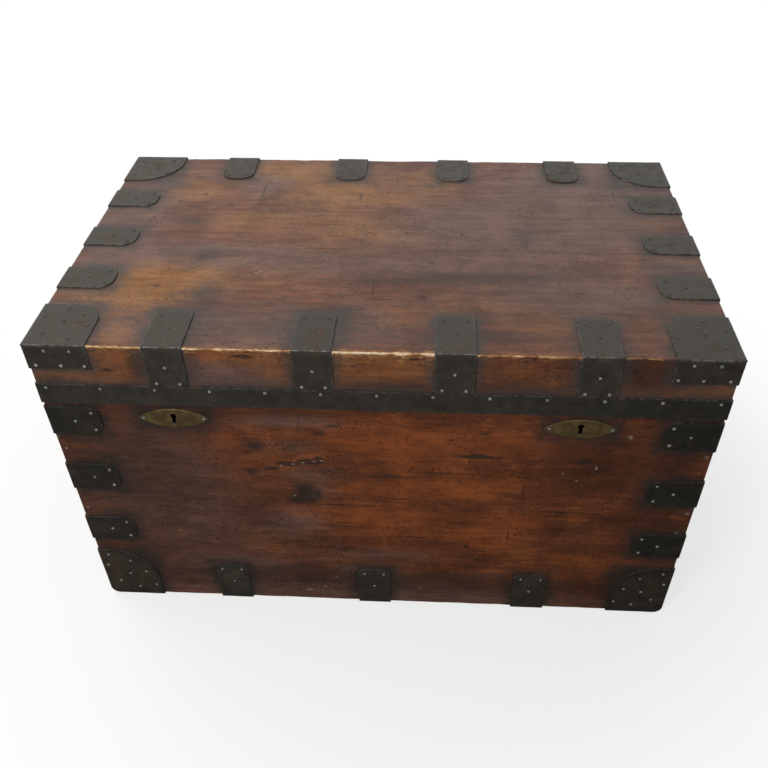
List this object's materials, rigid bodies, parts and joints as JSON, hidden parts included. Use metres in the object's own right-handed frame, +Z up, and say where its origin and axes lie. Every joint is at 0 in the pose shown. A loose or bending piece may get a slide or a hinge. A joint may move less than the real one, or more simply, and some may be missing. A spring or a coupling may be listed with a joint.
{
  "type": "travel trunk",
  "caption": "Low rectangular wooden travel trunk bound with flat iron straps and corner plates, with a hinged box lid, keyhole locks and drop handles on its ends.",
  "frame": {"origin": "on the floor, under the middle of the trunk, at the undersides of the bottom straps and corner plates", "axes": "+X to the right seen from the front, -Y out of the front with the keyholes, +Z up"},
  "size_m": [0.9194, 0.5286, 0.5113],
  "materials": {
    "teak": "old reddish-brown teak, waxed and worn",
    "iron": "blackened wrought strip, dull with light edges",
    "nails": "domed iron nail heads, rubbed bright",
    "steel": "plain oiled steel",
    "brass": "aged olive-brown brass"
  },
  "bodies": {
    "trunk": {"front_upper_board": "teak", "front_lower_board": "teak", "back_upper_board": "teak", "back_lower_board": "teak", "left_upper_board": "teak", "left_lower_board": "teak", "right_upper_board": "teak", "right_lower_board": "teak", "bottom_front_board": "teak", "bottom_rear_board": "teak", "hinge_leaf_left": "iron", "hinge_leaf_right": "iron", "hinge_pin_left": "steel", "hinge_pin_right": "steel", "edge_straps_front_left": "iron", "edge_straps_front_right": "iron", "edge_straps_rear_left": "iron", "edge_straps_rear_right": "iron", "foot_corner_front_left": "iron", "foot_corner_front_right": "iron", "foot_corner_rear_left": "iron", "foot_corner_rear_right": "iron", "foot_straps_front": "iron", "foot_straps_rear": "iron", "foot_straps_left": "iron", "foot_straps_right": "iron", "lock_case_left": "brass", "lock_case_right": "brass", "escutcheon_left": "brass", "escutcheon_right": "brass", "handle_plate_left": "iron", "handle_plate_right": "iron", "body_nails": "nails", "escutcheon_nails": "nails"},
    "lid": {"lid_front_rail": "teak", "lid_back_rail": "teak", "lid_left_rail": "teak", "lid_right_rail": "teak", "lid_top_front_board": "teak", "lid_top_rear_board": "teak", "lid_band_front": "iron", "lid_band_left": "iron", "lid_band_right": "iron", "lid_corner_front_left": "iron", "lid_corner_front_right": "iron", "lid_corner_rear_left": "iron", "lid_corner_rear_right": "iron", "lid_front_straps": "iron", "lid_back_straps": "iron", "lid_left_straps": "iron", "lid_right_straps": "iron", "hinge_strap_left": "iron", "hinge_strap_right": "iron", "link_plate_left": "brass", "link_plate_right": "brass", "lid_nails": "nails"},
    "left_bolt": {"lock_bolt_left": "steel"},
    "right_bolt": {"lock_bolt_right": "steel"},
    "left_handle": {"handle_left": "iron"},
    "right_handle": {"handle_right": "iron"}
  },
  "joints": [
    {"name": "lid_hinge", "type": "hinge", "parent": "trunk", "child": "lid", "pos_m": [0, 0.251, 0.42215], "axis": [-1, 0, 0], "range_deg": [0, 98]},
    {"name": "left_bolt_slide", "type": "slide", "parent": "trunk", "child": "left_bolt", "axis": [1, 0, 0], "range_m": [0, 0.009]},
    {"name": "right_bolt_slide", "type": "slide", "parent": "trunk", "child": "right_bolt", "axis": [1, 0, 0], "range_m": [0, 0.009]},
    {"name": "left_handle_swing", "type": "hinge", "parent": "trunk", "child": "left_handle", "pos_m": [-0.4507, 0, 0.3], "axis": [0, 1, 0], "range_deg": [-5, 185]},
    {"name": "right_handle_swing", "type": "hinge", "parent": "trunk", "child": "right_handle", "pos_m": [0.4507, 0, 0.3], "axis": [0, -1, 0], "range_deg": [-5, 185]}
  ]
}
